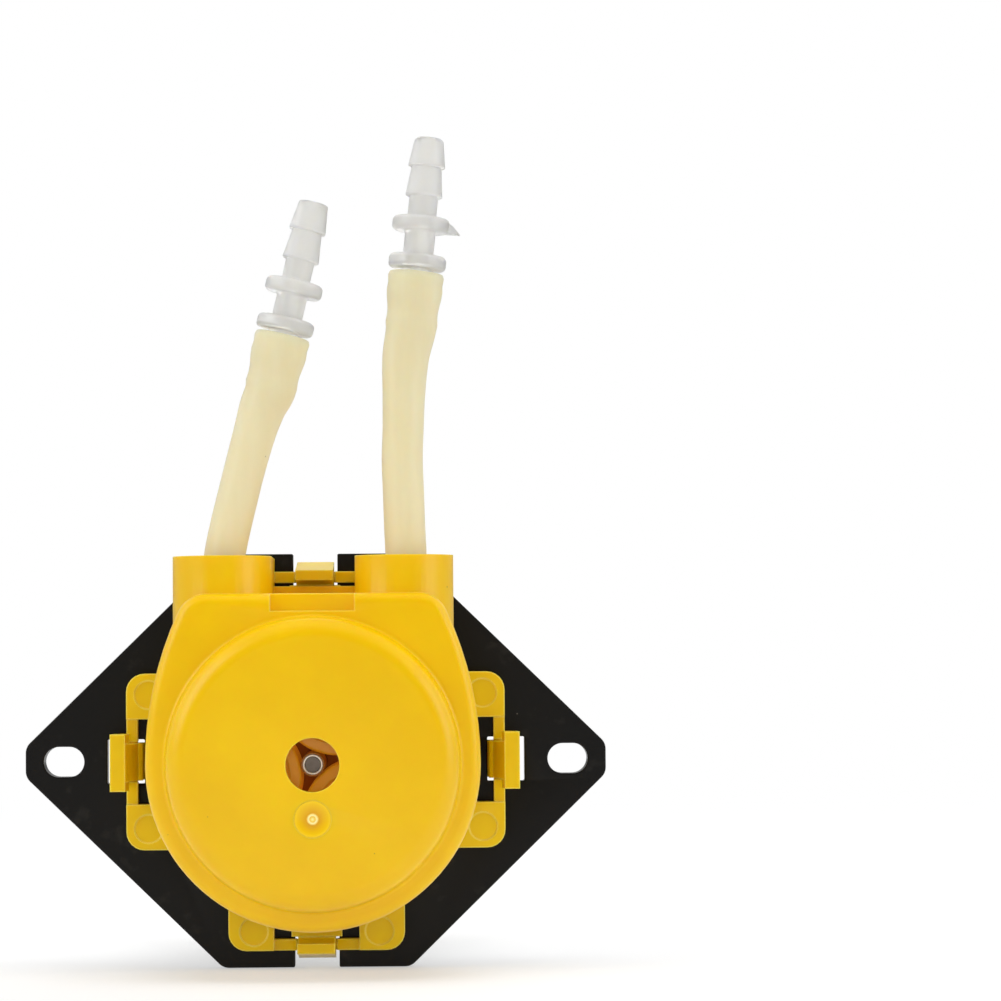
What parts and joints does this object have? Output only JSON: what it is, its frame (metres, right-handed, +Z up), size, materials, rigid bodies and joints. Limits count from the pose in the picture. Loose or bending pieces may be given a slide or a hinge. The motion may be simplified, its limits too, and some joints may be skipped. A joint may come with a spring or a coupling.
{
  "type": "dosing pump",
  "caption": "Peristaltic dosing pump: clip-on roller head on a diamond panel bracket with a small can motor and two barbed tube ends.",
  "frame": {"origin": "centre of the bracket's back face, on the motor axis, midway between the two screw slots", "axes": "+X to the right seen from the front, +Y back along the motor through the panel, +Z up towards the tube ends"},
  "size_m": [0.0576, 0.0676, 0.0815],
  "materials": {
    "black_abs": "satin moulded",
    "yellow_base": "satin moulded",
    "yellow_housing": "glossy moulded",
    "silicone_tube": "milky translucent",
    "white_nylon": "translucent",
    "white_acetal": "satin",
    "ground_steel": "ground",
    "amber_roller": "satin",
    "zinc_plated_can": "zinc plated, mottled",
    "nylon_cap": "satin moulded",
    "brass": "rolled",
    "carbon": "pressed",
    "ferrite": "sintered",
    "lamination_steel": "stacked",
    "copper_wire": "enamelled",
    "bronze": "sintered",
    "washer_plastic": "satin"
  },
  "bodies": {
    "pump_body": {"mounting_bracket": "black_abs", "base_plate": "yellow_base", "head_housing": "yellow_housing", "pump_tube": "silicone_tube", "left_fitting": "white_nylon", "right_fitting": "white_nylon", "motor_can": "zinc_plated_can", "motor_end_cap": "nylon_cap", "terminal_top": "brass", "terminal_bottom": "brass", "brush_arm_top": "brass", "brush_arm_bottom": "brass", "brush_top": "carbon", "brush_bottom": "carbon", "magnet_left": "ferrite", "magnet_right": "ferrite", "front_bearing": "bronze", "rear_bearing": "bronze", "motor_screws": "ground_steel"},
    "armature": {"motor_shaft": "ground_steel", "armature_core": "lamination_steel", "windings": "copper_wire", "commutator": "copper_wire", "thrust_washers": "washer_plastic"},
    "carrier": {"roller_carrier": "white_acetal", "carrier_ring": "white_acetal", "roller_pins": "ground_steel"},
    "roller_one": {"roller_1": "amber_roller"},
    "roller_two": {"roller_2": "amber_roller"},
    "roller_three": {"roller_3": "amber_roller"},
    "top_lever": {"latch_top": "yellow_base"},
    "bottom_lever": {"latch_bottom": "yellow_base"},
    "left_lever": {"latch_left": "yellow_base"},
    "right_lever": {"latch_right": "yellow_base"}
  },
  "joints": [
    {"name": "motor_spin", "type": "hinge", "parent": "pump_body", "child": "armature", "pos_m": [0, 0, 0], "axis": [0, 1, 0], "continuous": true},
    {"name": "carrier_spin", "type": "hinge", "parent": "pump_body", "child": "carrier", "pos_m": [0, 0, 0], "axis": [0, 1, 0], "continuous": true},
    {"name": "roller_1_spin", "type": "hinge", "parent": "carrier", "child": "roller_one", "pos_m": [0.00223, -0.0137, 0.00637], "axis": [0, 1, 0], "continuous": true},
    {"name": "roller_2_spin", "type": "hinge", "parent": "carrier", "child": "roller_two", "pos_m": [-0.00663, -0.0137, -0.00125], "axis": [0, 1, 0], "continuous": true},
    {"name": "roller_3_spin", "type": "hinge", "parent": "carrier", "child": "roller_three", "pos_m": [0.0044, -0.0137, -0.00512], "axis": [0, 1, 0], "continuous": true},
    {"name": "latch_top_press", "type": "hinge", "parent": "pump_body", "child": "top_lever", "pos_m": [0, -0.00395, 0.01815], "axis": [1, 0, 0], "range_deg": [0, 10], "stiffness_Nm_per_rad": 0.02},
    {"name": "latch_bottom_press", "type": "hinge", "parent": "pump_body", "child": "bottom_lever", "pos_m": [0, -0.00395, -0.01815], "axis": [-1, 0, 0], "range_deg": [0, 10], "stiffness_Nm_per_rad": 0.02},
    {"name": "latch_left_press", "type": "hinge", "parent": "pump_body", "child": "left_lever", "pos_m": [-0.01815, -0.00395, 0], "axis": [0, 0, 1], "range_deg": [0, 10], "stiffness_Nm_per_rad": 0.02},
    {"name": "latch_right_press", "type": "hinge", "parent": "pump_body", "child": "right_lever", "pos_m": [0.01815, -0.00395, 0], "axis": [0, 0, -1], "range_deg": [0, 10], "stiffness_Nm_per_rad": 0.02}
  ],
  "couplings": [
    {"joint": "carrier_spin", "follows": "motor_spin", "ratio": 0.085185},
    {"joint": "roller_1_spin", "follows": "motor_spin", "ratio": -0.18786},
    {"joint": "roller_2_spin", "follows": "motor_spin", "ratio": -0.18786},
    {"joint": "roller_3_spin", "follows": "motor_spin", "ratio": -0.18786}
  ]
}
